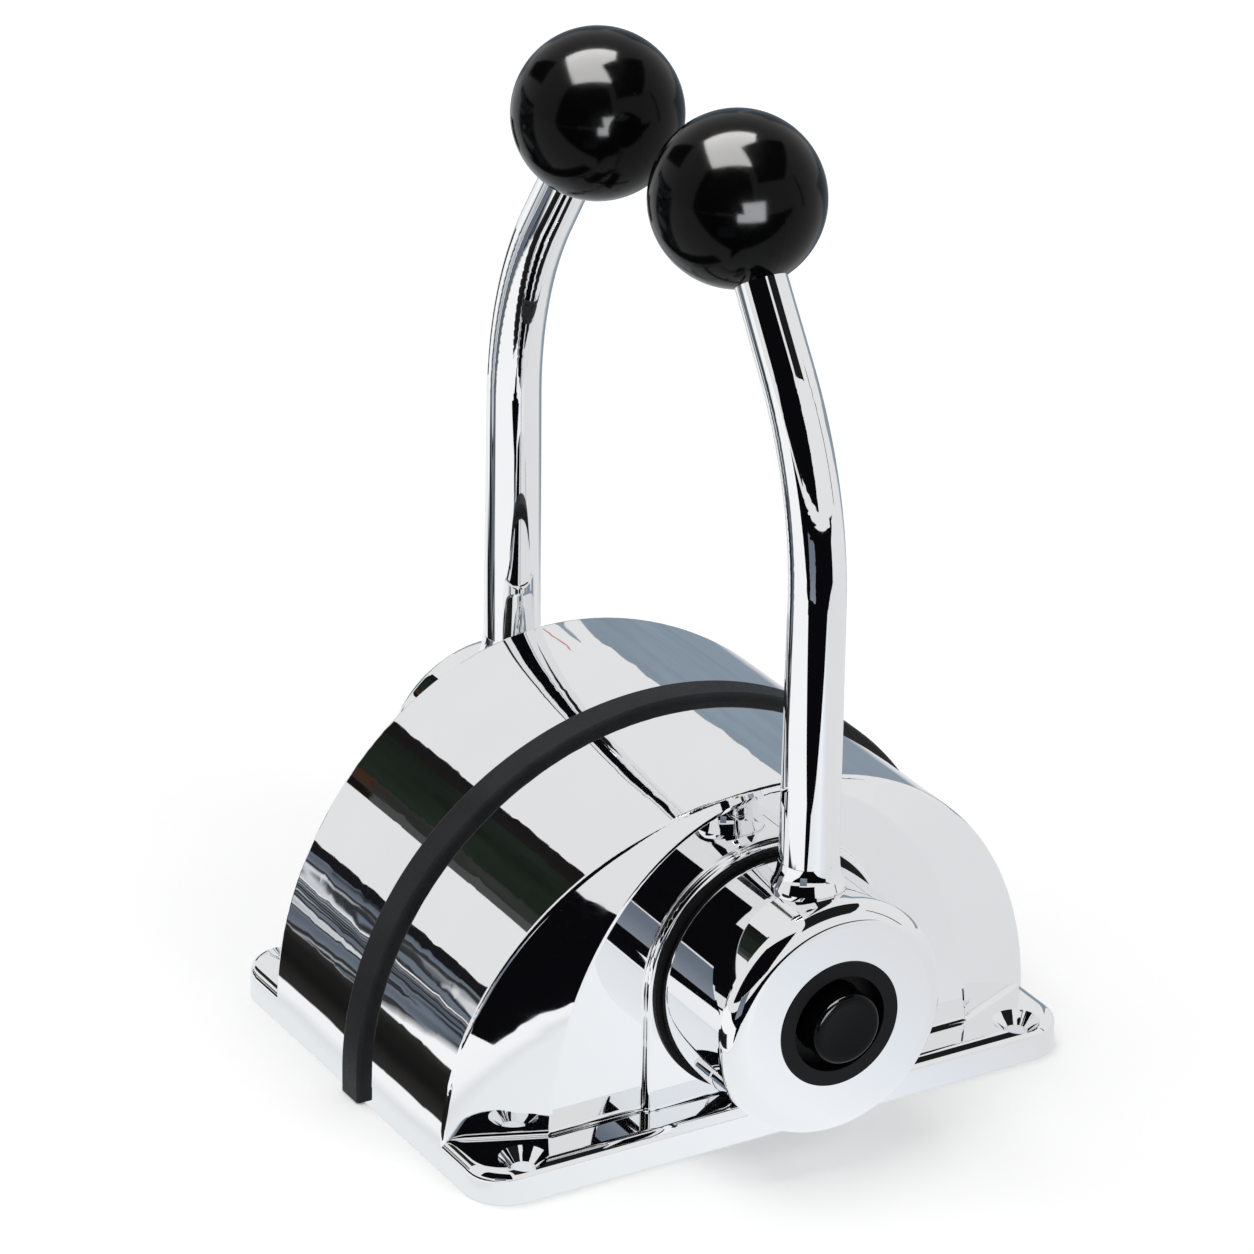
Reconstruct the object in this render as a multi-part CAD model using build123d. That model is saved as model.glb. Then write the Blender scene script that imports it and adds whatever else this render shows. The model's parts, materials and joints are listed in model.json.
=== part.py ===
from build123d import *
from math import acos, atan, cos, degrees, hypot, pi, radians, sin, sqrt, tan
import os

# Twin-lever control head. Millimetres, +Z up, +Y towards the bow, +X to starboard.
# The origin is the middle of the base's underside. Every part is drawn for the starboard
# side and mirrored in the middle plane (x = 0) for the port side.

# Base plate and drum
base_length = 174.0          # along Y, also the drum's length over its skirt
base_width = 136.4           # along X
base_thickness = 9.4
base_corner = 11.0
base_edge_round = 3.2        # rounding of the base's upper edge; the drum springs where it starts
drum_height = 91.7
wall = 4.5                   # drum wall
end_wall = 5.0               # flat end wall
base_opening_rim_x = 0.5     # base left standing inside the end wall
base_opening_rim_y = 11.0    # and inside the base's ends
base_opening_corner = 14.0

# End of the drum: a flat wall inside a curved bevel that narrows towards the crown
end_x = 55.5                 # outer face of the flat end wall
bevel_foot = 25.0            # how far the flat face stays inside the drum's outline at the foot
bevel_crown = 2.1            # and at the crown
bevel_x = 10.5               # how far the bevel runs inboard at the foot
bevel_round = 2.0
rim_round = 1.3

# Collar round the shaft
collar_half = 35.2
collar_face_x = 57.5
collar_round = 1.2

# Rubber strip over the joint
strip_width = 9.0
strip_proud = 2.3
strip_round = 0.9
tongue_width = 5.2
tongue_depth = 5.0
tongue_gap = 0.3
joint_flange = 5.5           # thickness of the flange behind the joint, along X
joint_flange_depth = 6.0     # how far it stands in from the drum wall

# Corner screw holes, for M6 countersunk screws
screw_inset_x = 5.7
screw_inset_y = 13.5
screw_hole_r = 3.3
screw_head_r = 6.3

# Gasket cord in the underside
gasket_width = 3.0
gasket_depth = 2.2
gasket_recess = 0.2
gasket_inset_x = 14.2
gasket_inset_y = 8.0
gasket_corner = 18.0

# Shaft, bushings and bearing plate
shaft_r = 7.0
running_fit = 0.05
push_rod_r = 2.5
plate_x = 14.0               # inner face of the bearing plate
plate_thickness = 4.0
plate_nose_r = 12.0          # of the plate's lower lobe
plate_window_r = 9.0
bushing_wall = 2.0
bushing_flange = 1.5
outer_bushing_wall = 2.5
boss_r = 16.0                # boss round the shaft
outer_bushing_end_gap = 0.25
boss_reach = 4.5             # how far the shaft boss stands in from the end wall
shaft_end_gap = 0.4          # shaft end behind the bearing plate's inner face

# Tie bolts, M6
tie_r = 3.0
tie_hole_r = 3.15
tie_boss_r = 7.5
tie_inset = 15.2             # from the drum's outline to the bolts
tie_angles = (25.0, 62.0)
bolt_head_r = 5.0
bolt_head_height = 6.0
nut_r = 5.7
nut_height = 5.0
bolt_end = 2.0               # thread beyond the nut
lobe_r = 6.0                 # corner of the bearing plate round a bolt

# Gears
gear_module = 1.25
gear_teeth = 32
pinion_teeth = 16
gear_gap_x = 0.5             # gear face beyond the bushing flange
gear_width = 7.0
pinion_width = 6.0
gear_hub_r = 11.0
pressure_angle = 20.0
dedendum = 1.25              # in modules
backlash = 0.14

# Position sensor
sensor_r = 11.0
sensor_depth = 10.5
sensor_neck_r = 4.5
spindle_r = 3.0
sensor_round = 1.0
plug_size = (6.0, 9.0, 9.0)
plug_shell = 1.0

# Detent
detent_x = 33.0              # middle of the detent wheel
detent_width = 6.0
detent_r = 24.0
notch_r = 4.2
notch_depth = 2.0
notch_angle = 28.0           # ahead and astern, between neutral and the notches at full travel
plunger_r = 4.0
plunger_length = 10.0
plunger_gap = 0.15
plunger_boss_r = 7.5
plunger_boss_gap = 5.2       # boss above the wheel
spring_seat_cover = 7.7      # from the spring's seat up to the crown
lever_swing = 80.0           # lever travel each way from neutral
stop_pin_r = 2.5
stop_pin_circle = 17.0
stop_gap = 0.3

# Friction brake
disc_spring_height = 2.2
disc_spring_thickness = 1.0
friction_disc_width = 3.0
friction_disc_r = 14.0
friction_nut_width = 2.4
friction_nut_r = 11.0
nut_slot = 3.0
peg_r = 2.2
peg_y = 17.0
brake_gap = 0.3

# Hub
hub_r = 32.0
hub_base_gap = 0.4           # hub above the base
hub_gap = 1.1                # hub's back face in front of the collar
hub_length = 32.7
hub_round = 5.5
hub_back_round = 0.8
shaft_seat = 17.4            # depth of the hub's bore for the shaft
seal_inner_r = 26.0
seal_outer_r = 33.5
seal_recess = 0.5
seal_gap = 0.3
set_screw_r = 3.0
set_screw_length = 10.0
set_screw_x = 8.0            # from the hub's back face

# Bezel and push button in the hub's face
bezel_r = 17.0
bezel_flange = 2.0
bezel_proud = 0.25
cup_outer_r = 14.5
cup_inner_r = 13.0
cup_depth = 5.0
cup_floor = 1.5
button_r = 9.5
button_proud = 4.0
button_round = 1.4
button_dish = 0.5
dish_land = 0.8              # flat between dish and rounded edge
button_travel = 3.8
button_fit = 0.3
button_flange_r = 12.4
button_flange = 1.5
push_rod_inset = 0.2         # push rod's end inside the shaft's end
push_rod_chamfer = 0.6

# Lever rod and knob
rod_foot_r = 7.75
rod_top_r = 6.6
rod_straight_z = 150.0       # where the bend starts
rod_bend_r = 98.0
rod_bend_angle = 34.0
foot_r = 9.5
foot_sink = 6.0              # depth of the foot's seat below the hub's crown
foot_collar = 0.4
foot_flare = 6.5
foot_fit = 0.05
spigot_r = 5.0
spigot_length = 9.5
knob_r = 22.0
knob_reach = 43.8            # from the end of the bend to the knob's centre
knob_socket = 9.0
knob_fit = 0.12

# Coil springs
detent_wire = 0.8
detent_coils = 4
detent_spring_r = 2.8
button_wire = 0.9
button_coils = 3
button_spring_r = 10.6

# Switch at the push rod's inner end
switch_size = (6.5, 5.8, 12.8)
switch_plunger_r = 1.2
switch_plunger = 1.2
switch_gap = 0.2
terminal_size = (1.5, 2.4, 0.6)
bracket_thickness = 1.2
bracket_width = 16.0
bracket_foot = 15.0

# Values worked out from the sizes above
spring_z = base_thickness - base_edge_round
crown_rise = drum_height - spring_z
half_length = base_length / 2
half_width = base_width / 2
end_half_y = half_length - bevel_foot
end_rise = crown_rise - bevel_crown
shaft_z = base_thickness + hub_base_gap + hub_r
bevel_growth = (half_length - end_half_y) / bevel_x
bevel_wall_x = wall / cos(atan(1 / bevel_growth))
screw_x = half_width - screw_inset_x
screw_y = half_length - screw_inset_y
plate_outer_x = plate_x + plate_thickness
bushing_r = shaft_r + running_fit + bushing_wall
outer_bushing_r = shaft_r + running_fit + outer_bushing_wall
gear_x = plate_outer_x + bushing_flange + gear_gap_x
gear_r = gear_module * gear_teeth / 2
pinion_r = gear_module * pinion_teeth / 2
sensor_y = gear_r + pinion_r
wheel_x0 = detent_x - detent_width / 2
wheel_x1 = detent_x + detent_width / 2
brake_x = wheel_x1 + disc_spring_height + brake_gap
brake_nut_x = brake_x + friction_disc_width + brake_gap
boss_x = end_x - end_wall - boss_reach
hub_x0 = collar_face_x + hub_gap
hub_x1 = hub_x0 + hub_length
lever_x = (hub_x0 + hub_x1) / 2
shaft_x0 = plate_x + shaft_end_gap
shaft_x1 = hub_x0 + shaft_seat
bezel_x = hub_x1 - bezel_flange
cup_floor_x = bezel_x + bezel_flange - cup_depth - cup_floor
button_flange_x1 = cup_floor_x - button_fit
button_flange_x0 = button_flange_x1 - button_flange
button_x1 = hub_x1 + bezel_proud + button_proud
push_rod_x0 = shaft_x0 + push_rod_inset
switch_x1 = push_rod_x0 - button_travel - switch_gap - switch_plunger
spring_seat_z = drum_height - spring_seat_cover
tie_places = [
    (side * (half_length - tie_inset) * cos(radians(angle)),
     spring_z + (crown_rise - tie_inset) * sin(radians(angle)))
    for angle in tie_angles
    for side in (-1, 1)
]

bend = radians(rod_bend_angle)
lean = Vector(-sin(bend), 0, cos(bend))
bend_start = Vector(lever_x, 0, rod_straight_z)
bend_end = bend_start + Vector(rod_bend_r * (cos(bend) - 1), 0, rod_bend_r * sin(bend))
socket_depth = sqrt(knob_r ** 2 - rod_top_r ** 2)

shaft_axis = Axis((0, 0, shaft_z), (1, 0, 0))
side_plane = Plane((0, 0, shaft_z), x_dir=(1, 0, 0), z_dir=(0, -1, 0))


def across(x):
    """Plane square to the shaft at x, local x along Y and local y along Z."""
    return Plane((x, 0, 0), x_dir=(0, 1, 0), z_dir=(1, 0, 0))


def rod_x(radius, x0, x1, y=0.0, z=shaft_z):
    """Round bar along X."""
    return extrude(across(x0) * Pos(y, z) * Circle(radius), x1 - x0)


def pillar(radius, x, y, z0, z1):
    """Round bar along Z."""
    return Pos(x, y, z0) * Cylinder(radius, z1 - z0, align=(Align.CENTER, Align.CENTER, Align.MIN))


def turned(points):
    """Solid of revolution about the shaft from a closed outline of (x, radius)."""
    outline = side_plane * Polygon(*points, align=None)
    return revolve(outline, shaft_axis)


def ring_x(inner, outer, x0, x1):
    return turned([(x0, inner), (x1, inner), (x1, outer), (x0, outer)])


def box(x0, x1, y0, y1, z0, z1):
    return Pos(x0, y0, z0) * Box(x1 - x0, y1 - y0, z1 - z0, align=Align.MIN)


def arch(inset, x0, x1):
    """The drum's section, half an oval over an upright skirt, drawn in by inset."""
    half_y = half_length - inset
    oval = Pos(0, spring_z) * Ellipse(half_y, crown_rise - inset)
    above = Pos(0, spring_z + drum_height) * Rectangle(2 * base_length, 2 * drum_height)
    skirt = Pos(0, spring_z / 2) * Rectangle(2 * half_y, spring_z)
    return extrude(across(x0) * ((oval & above) + skirt), x1 - x0)


def bevelled_end(shift, x_end):
    """Tapering elliptical form whose small end is the flat end wall."""
    near = across(end_x + shift) * Pos(0, spring_z) * Ellipse(end_half_y, end_rise)
    growth = bevel_growth * end_x
    far = across(shift) * Pos(0, spring_z) * Ellipse(end_half_y + growth, end_rise + growth)
    beyond = 4 * base_length
    return loft([near, far], ruled=True) & box(-end_x, x_end, -beyond, beyond, -beyond, beyond)


def radial_rib(y, z, x1):
    """Rib that ties a bolt boss to the drum wall."""
    reach = hypot(y, z - spring_z)
    length = tie_inset - wall / 2
    along = Rot(0, 0, degrees(acos(y / reach))) * Pos(reach + length / 2, 0)
    return extrude(across(0) * Pos(0, spring_z) * along * Rectangle(length, tie_boss_r), x1)


def housing():
    """Half of the drum and base, cast in one with its collar, bosses and flange."""
    body = arch(0, 0, end_x) & bevelled_end(0, end_x)
    bend_line = body.faces().sort_by(Axis.X)[-1].edges().filter_by(GeomType.LINE, reverse=True)
    body = fillet(bend_line, bevel_round)
    rim = [e for e in body.edges() if e.bounding_box().max.Z > drum_height - rim_round
           and e.bounding_box().size.Z > drum_height / 2 and e.bounding_box().size.X > bevel_x / 3
           and e.center().X > end_x - bevel_x]
    body = fillet(rim, rim_round)

    collar = across(end_x - end_wall) * (Pos(0, shaft_z) * Circle(collar_half)
                                         + Pos(0, shaft_z / 2) * Rectangle(2 * collar_half, shaft_z))
    collar = extrude(collar, collar_face_x - end_x + end_wall)
    collar = fillet(collar.faces().sort_by(Axis.X)[-1].edges().filter_by(
        lambda e: e.center().Z > 1), collar_round)
    body = body + collar

    plate = extrude(RectangleRounded(base_width, base_length, base_corner), base_thickness)
    plate = fillet(plate.faces().sort_by(Axis.Z)[-1].edges(), base_edge_round)
    plate = plate & box(0, base_width, -base_length, base_length, 0, drum_height)
    body = body + plate

    room = arch(wall, 0, end_x - end_wall) & bevelled_end(-bevel_wall_x, end_x - end_wall)
    room = room & box(0, end_x, -half_length, half_length, base_thickness, drum_height)
    room = room - (arch(wall, 0, joint_flange) - arch(wall + joint_flange_depth, 0, joint_flange))
    opening = RectangleRounded(2 * (end_x - end_wall - base_opening_rim_x), base_length - 2 * base_opening_rim_y,
                               base_opening_corner)
    body = body - room - extrude(opening, base_thickness)

    body = body + rod_x(boss_r, boss_x, end_x - end_wall / 2)
    for side in (-1, 1):
        body = body + rod_x(peg_r, brake_x, end_x - end_wall / 2, side * peg_y)
    for y, z in tie_places:
        body = body + radial_rib(y, z, plate_x) + rod_x(tie_boss_r, 0, plate_x, y, z)
    body = body + pillar(plunger_boss_r, detent_x, 0, shaft_z + detent_r + plunger_boss_gap,
                         drum_height - wall / 2)

    body = body - rod_x(outer_bushing_r, 0, hub_x0)
    body = body - ring_x(seal_inner_r, seal_outer_r, collar_face_x - seal_recess, hub_x0)
    body = body - rod_x(stop_pin_r, 0, end_x - end_wall / 2, 0, shaft_z - stop_pin_circle)
    body = body - pillar(plunger_r + running_fit, detent_x, 0, 0, spring_seat_z)
    for y, z in tie_places:
        body = body - rod_x(tie_hole_r, 0, plate_x, y, z)
    sink_depth = screw_head_r - screw_hole_r
    for side in (-1, 1):
        sink = Cone(screw_hole_r, screw_head_r, sink_depth, align=(Align.CENTER, Align.CENTER, Align.MAX))
        body = body - pillar(screw_hole_r, screw_x, side * screw_y, 0, base_thickness)
        body = body - Pos(screw_x, side * screw_y, base_thickness) * sink
    groove = arch(0, 0, tongue_width / 2) - arch(tongue_depth + tongue_gap, 0, tongue_width / 2)
    body = body - groove - gasket_loop(0, gasket_depth)
    return body


def gasket_loop(z0, z1):
    wide, long = base_width - 2 * gasket_inset_x, base_length - 2 * gasket_inset_y
    outer = RectangleRounded(wide + gasket_width, long + gasket_width, gasket_corner + gasket_width / 2)
    inner = RectangleRounded(wide - gasket_width, long - gasket_width, gasket_corner - gasket_width / 2)
    return Pos(0, 0, z0) * extrude(outer - inner, z1 - z0)


def centre_strip():
    """Band over the joint: a cap that stands proud and a tongue between the castings."""
    half = strip_width / 2
    cap = arch(-strip_proud, -half, half)
    corners = [e for face in (cap.faces().sort_by(Axis.X)[0], cap.faces().sort_by(Axis.X)[-1])
               for e in face.edges() if e.center().Z > strip_round]
    cap = fillet(corners, strip_round) - arch(0, -half, half)
    tongue = arch(0, -tongue_width / 2, tongue_width / 2) - arch(tongue_depth, -half, half)
    above_base = box(-half, half, -base_length, base_length, gasket_recess, 2 * drum_height)
    return (cap + tongue) & above_base


def bearing_plate():
    lobes = [Pos(y, z) * Circle(lobe_r) for y, z in tie_places]
    nose = Pos(0, shaft_z - boss_r) * Circle(plate_nose_r)
    outline = make_hull((Sketch() + lobes + nose).edges())
    blank = extrude(across(plate_x) * outline, plate_thickness)
    blank = blank - rod_x(bushing_r, plate_x, plate_outer_x)
    blank = blank - rod_x(sensor_neck_r, plate_x, plate_outer_x, sensor_y)
    blank = blank - rod_x(plate_window_r, plate_x, plate_outer_x, -sensor_y)
    for y, z in tie_places:
        blank = blank - rod_x(tie_hole_r, plate_x, plate_outer_x, y, z)
    return blank


def flanged_bushing(outer, x0, x1, flange_x0):
    bore = shaft_r + running_fit
    flange = ring_x(bore, outer + bushing_wall, flange_x0, flange_x0 + bushing_flange)
    return ring_x(bore, outer, x0, x1) + flange


def outer_bushing():
    flange_x0 = boss_x - bushing_flange
    return flanged_bushing(outer_bushing_r, flange_x0, collar_face_x - outer_bushing_end_gap, flange_x0)


def inner_bushing():
    return flanged_bushing(bushing_r, plate_x, plate_outer_x + bushing_flange, plate_outer_x)


def involute_profile(teeth):
    """Toothed outline with three points on each flank, one tooth centred on local +x."""
    pitch_r = gear_module * teeth / 2
    base_r = pitch_r * cos(radians(pressure_angle))
    tip_r = pitch_r + gear_module
    root_r = pitch_r - dedendum * gear_module
    inv_pitch = tan(radians(pressure_angle)) - radians(pressure_angle)
    half_tooth = pi / (2 * teeth) - backlash / (2 * pitch_r)

    def flank_angle(r):
        if r <= base_r:
            return half_tooth + inv_pitch
        a = acos(base_r / r)
        return half_tooth + inv_pitch - (tan(a) - a)

    radii = (root_r, max(base_r, root_r), pitch_r, tip_r)
    points = []
    for k in range(teeth):
        middle = 2 * pi * k / teeth
        for r in radii:
            points.append((r * cos(middle - flank_angle(r)), r * sin(middle - flank_angle(r))))
        for r in reversed(radii):
            points.append((r * cos(middle + flank_angle(r)), r * sin(middle + flank_angle(r))))
    return Polygon(*points, align=None)


def drive_gear():
    toothed = extrude(across(gear_x) * Pos(0, shaft_z) * involute_profile(gear_teeth), gear_width)
    return toothed + rod_x(gear_hub_r, gear_x, wheel_x0) - rod_x(shaft_r, gear_x, wheel_x0)


def sensor_pinion():
    x0 = gear_x + (gear_width - pinion_width) / 2
    half_pitch = 180 / pinion_teeth
    shape = Pos(sensor_y, shaft_z) * Rot(0, 0, half_pitch) * involute_profile(pinion_teeth)
    return extrude(across(x0) * shape, pinion_width) - rod_x(spindle_r, x0, x0 + pinion_width, sensor_y)


def sensor_spindle():
    x1 = gear_x + (gear_width + pinion_width) / 2
    return rod_x(spindle_r, plate_x - sensor_depth / 2, x1, sensor_y)


def position_sensor():
    body = rod_x(sensor_r, plate_x - sensor_depth, plate_x, sensor_y)
    body = fillet(body.edges().sort_by(Axis.X)[:1], sensor_round)
    body = body + rod_x(sensor_neck_r, plate_x, plate_outer_x, sensor_y)
    wide, across_y, tall = plug_size
    plug_x = plate_x - (sensor_depth + wide) / 2
    plug_y = sensor_y - across_y / 2
    plug_z = shaft_z - sensor_r - tall
    plug = box(plug_x, plug_x + wide, plug_y, plug_y + across_y, plug_z, shaft_z - sensor_r / 2)
    hollow = box(plug_x + plug_shell, plug_x + wide - plug_shell, plug_y + plug_shell,
                 plug_y + across_y - plug_shell, plug_z, plug_z + tall - plug_shell)
    spindle_room = rod_x(spindle_r + running_fit, plate_x - sensor_depth / 2, plate_outer_x, sensor_y)
    return body + plug - hollow - spindle_room


def detent_wheel():
    wheel = rod_x(detent_r, wheel_x0, wheel_x1) - rod_x(shaft_r, wheel_x0, wheel_x1)
    for angle in (-lever_swing, -notch_angle, 0, notch_angle, lever_swing):
        reach = detent_r + notch_r - notch_depth
        y, z = reach * sin(radians(angle)), shaft_z + reach * cos(radians(angle))
        wheel = wheel - rod_x(notch_r, wheel_x0, wheel_x1, y, z)
    slot_r = stop_pin_r + stop_gap
    wide = Pos(0, shaft_z) * (Circle(stop_pin_circle + slot_r) - Circle(stop_pin_circle - slot_r))
    reach = 2 * detent_r
    edge = (reach * sin(radians(lever_swing)), -reach * cos(radians(lever_swing)))
    corners = ((0, 0), edge, (edge[0], -reach), (-edge[0], -reach), (-edge[0], edge[1]))
    sector = Pos(0, shaft_z) * Polygon(*corners, align=None)
    ends = [Pos(0, shaft_z) * Rot(0, 0, side * lever_swing) * Pos(0, -stop_pin_circle) * Circle(slot_r)
            for side in (-1, 1)]
    slot = (wide & sector) + ends
    return wheel - extrude(across(wheel_x0) * slot, detent_width)


def stop_pin():
    return rod_x(stop_pin_r, wheel_x0, end_x - end_wall / 2, 0, shaft_z - stop_pin_circle)


def detent_plunger():
    tip_z = shaft_z + detent_r + plunger_gap
    nose = Pos(detent_x, 0, tip_z + plunger_r) * Sphere(plunger_r)
    return nose + pillar(plunger_r, detent_x, 0, tip_z + plunger_r, tip_z + plunger_length)


def coil(radius, wire, coils, length):
    """Helical spring along +Z from z = 0 with its wire inside the length."""
    rise = length - 2 * wire
    path = Helix(pitch=rise / coils, height=rise, radius=radius)
    section = Plane(path @ 0, x_dir=(0, 0, 1), z_dir=path % 0) * RegularPolygon(wire, 6)
    return Pos(0, 0, wire) * sweep(section, path, is_frenet=True)


def detent_spring():
    bottom = shaft_z + detent_r + plunger_gap + plunger_length
    spring = coil(detent_spring_r, detent_wire / 2, detent_coils, spring_seat_z - bottom)
    return Pos(detent_x, 0, bottom) * spring


def friction_disc():
    ears = [Pos(side * peg_y, shaft_z) * Circle(2 * peg_r) for side in (-1, 1)]
    shape = make_hull((Sketch() + Pos(0, shaft_z) * Circle(friction_disc_r) + ears).edges())
    disc = extrude(across(brake_x) * shape, friction_disc_width) - rod_x(shaft_r + brake_gap, 0, end_x)
    for side in (-1, 1):
        disc = disc - rod_x(peg_r, brake_x, boss_x, side * peg_y)
    return disc


def disc_spring():
    thick = disc_spring_thickness
    x1 = wheel_x1 + disc_spring_height
    return turned([(wheel_x1, shaft_r), (wheel_x1 + thick, shaft_r), (x1, friction_nut_r),
                   (x1, friction_nut_r + thick), (x1 - thick, friction_nut_r + thick)])


def friction_nut():
    nut = ring_x(shaft_r, friction_nut_r, brake_nut_x, brake_nut_x + friction_nut_width)
    for angle in range(0, 360, 90):
        cut = Pos(0, shaft_z) * Rot(0, 0, angle) * Pos(friction_nut_r, 0) * Rectangle(nut_slot, nut_slot)
        nut = nut - extrude(across(brake_nut_x) * cut, friction_nut_width)
    return nut


def hub():
    """Turned hub with seats for shaft, bezel, button and lever rod."""
    blank = rod_x(hub_r, hub_x0, hub_x1)
    ends = blank.edges().sort_by(Axis.X)
    blank = fillet(ends[-1:], hub_round)
    blank = fillet(blank.edges().sort_by(Axis.X)[:1], hub_back_round)
    blank = blank - rod_x(shaft_r, hub_x0, shaft_x1) - rod_x(cup_inner_r, shaft_x1, hub_x1)
    blank = blank - rod_x(cup_outer_r, cup_floor_x, hub_x1) - rod_x(bezel_r, bezel_x, hub_x1)
    seat_z = shaft_z + hub_r - foot_sink
    blank = blank - pillar(foot_r + foot_fit, lever_x, 0, seat_z, seat_z + hub_r)
    blank = blank - pillar(spigot_r + foot_fit, lever_x, 0, seat_z - spigot_length, seat_z)
    return blank - pillar(set_screw_r, hub_x0 + set_screw_x, 0, 0, shaft_z - shaft_r)


def hub_screw():
    x = hub_x0 + set_screw_x
    top = shaft_z - shaft_r
    bottom = top - set_screw_length
    socket = extrude(RegularPolygon(set_screw_r / 2, 6), set_screw_length / 3)
    return pillar(set_screw_r, x, 0, bottom, top) - Pos(x, 0, bottom) * socket


def shaft():
    return ring_x(push_rod_r + running_fit, shaft_r, shaft_x0, shaft_x1)


def shaft_seal():
    return ring_x(seal_inner_r, seal_outer_r, collar_face_x - seal_recess, hub_x0 - seal_gap)


def hub_bezel():
    face = hub_x1 + bezel_proud
    hole = button_r + button_fit
    floor = cup_floor_x + cup_floor
    return turned([(cup_floor_x, hole), (floor, hole), (floor, cup_inner_r), (face, cup_inner_r),
                   (face, bezel_r), (bezel_x, bezel_r), (bezel_x, cup_outer_r), (cup_floor_x, cup_outer_r)])


def push_button():
    """Capped plunger with a shallow dish in its face and a flange that keeps it in the hub."""
    cap = rod_x(button_r, button_flange_x0, button_x1)
    cap = fillet(cap.edges().sort_by(Axis.X)[-1:], button_round)
    dish_r = button_r - button_round - dish_land
    sphere_r = (dish_r ** 2 + button_dish ** 2) / (2 * button_dish)
    cap = cap - Pos(button_x1 - button_dish + sphere_r, 0, shaft_z) * Sphere(sphere_r)
    return cap + rod_x(button_flange_r, button_flange_x0, button_flange_x1)


def push_rod():
    rod = rod_x(push_rod_r, push_rod_x0, button_flange_x0)
    return chamfer(rod.edges().sort_by(Axis.X)[:1], push_rod_chamfer)


def button_spring():
    length = button_flange_x0 - shaft_x1
    spring = coil(button_spring_r, button_wire / 2, button_coils, length)
    return Pos(shaft_x1, 0, shaft_z) * Rot(0, 90, 0) * spring


def lever_rod():
    """Tapered rod: straight, a bend towards the other lever, then straight into the knob."""
    seat_z = shaft_z + hub_r - foot_sink
    crown_z = shaft_z + hub_r
    start = Vector(lever_x, 0, seat_z)
    end = bend_end + lean * (knob_reach - socket_depth + knob_socket)
    arc = TangentArc(bend_start, bend_end, tangent=(0, 0, 1))
    path = Line(start, bend_start) + arc + Line(bend_end, end)
    foot = Plane(start) * Circle(rod_foot_r)
    top = Plane(end, x_dir=(0, 1, 0), z_dir=lean) * Circle(rod_top_r)
    rod = sweep([foot, top], path=path, multisection=True)

    flare_z = crown_z + foot_collar
    side = Plane((lever_x, 0, 0), x_dir=(1, 0, 0), z_dir=(0, -1, 0))
    flare_top = flare_z + foot_flare
    shoulder, neck = (foot_r, flare_z), (rod_foot_r, flare_top)
    outline = Polyline(shoulder, (foot_r, seat_z), (0, seat_z), (0, flare_top), neck)
    outline += TangentArc(neck, shoulder, tangent=(0, -1))
    flare = revolve(side * make_face(outline), Axis((lever_x, 0, 0), (0, 0, 1)))
    return rod + flare + pillar(spigot_r, lever_x, 0, seat_z - spigot_length, seat_z)


def ball_knob():
    centre = bend_end + lean * knob_reach
    mouth = Plane(centre - lean * (knob_r + 1), x_dir=(0, 1, 0), z_dir=lean)
    socket = extrude(mouth * Circle(rod_top_r + knob_fit), knob_r + 1 - socket_depth + knob_socket)
    return Pos(centre) * Sphere(knob_r) - socket


def warmup_switch():
    deep, wide, tall = switch_size
    body = box(switch_x1 - deep, switch_x1, -wide / 2, wide / 2, shaft_z - tall / 2, shaft_z + tall / 2)
    tip = rod_x(switch_plunger_r, switch_x1, switch_x1 + switch_plunger)
    reach, across_y, thick = terminal_size
    for step in (-1, 0, 1):
        blade = Pos(switch_x1 - deep - reach / 2, 0, shaft_z + step * tall / 3)
        body = body + blade * Box(reach, across_y, thick)
    return body + tip


def switch_bracket():
    deep, wide, tall = switch_size
    web_y = wide / 2
    half = bracket_width / 2
    low, high = shaft_z - half, shaft_z + half
    web = box(switch_x1 - deep, plate_x, web_y, web_y + bracket_thickness, low, high)
    foot = box(plate_x - bracket_thickness, plate_x, web_y, web_y + bracket_foot, low, high)
    return web + foot


def tie_bolts():
    bolts = []
    for y, z in tie_places:
        shank = rod_x(tie_r, -plate_outer_x - nut_height - bolt_end, plate_outer_x, y, z)
        head = rod_x(bolt_head_r, plate_outer_x, plate_outer_x + bolt_head_height, y, z)
        hexagon = Pos(y, z) * RegularPolygon(tie_r, 6)
        socket = extrude(across(plate_outer_x + bolt_head_height / 2) * hexagon, bolt_head_height / 2)
        bolts.append(shank + head - socket)
    return Compound(children=[bolt.solid() for bolt in bolts])


def tie_nuts():
    nuts = []
    nut_x = -plate_outer_x - nut_height
    for y, z in tie_places:
        blank = extrude(across(nut_x) * Pos(y, z) * RegularPolygon(nut_r, 6), nut_height)
        nuts.append((blank - rod_x(tie_r, nut_x, -plate_outer_x, y, z)).solid())
    return Compound(children=nuts)


side_parts = {
    "housing": housing,
    "shaft_seal": shaft_seal,
    "outer_bushing": outer_bushing,
    "bearing_plate": bearing_plate,
    "inner_bushing": inner_bushing,
    "position_sensor": position_sensor,
    "sensor_spindle": sensor_spindle,
    "sensor_pinion": sensor_pinion,
    "warmup_switch": warmup_switch,
    "switch_bracket": switch_bracket,
    "stop_pin": stop_pin,
    "friction_disc": friction_disc,
    "detent_plunger": detent_plunger,
    "detent_spring": detent_spring,
    "shaft": shaft,
    "drive_gear": drive_gear,
    "detent_wheel": detent_wheel,
    "disc_spring": disc_spring,
    "friction_nut": friction_nut,
    "hub": hub,
    "hub_screw": hub_screw,
    "lever_rod": lever_rod,
    "ball_knob": ball_knob,
    "hub_bezel": hub_bezel,
    "push_button": push_button,
    "push_rod": push_rod,
    "button_spring": button_spring,
}

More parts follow.
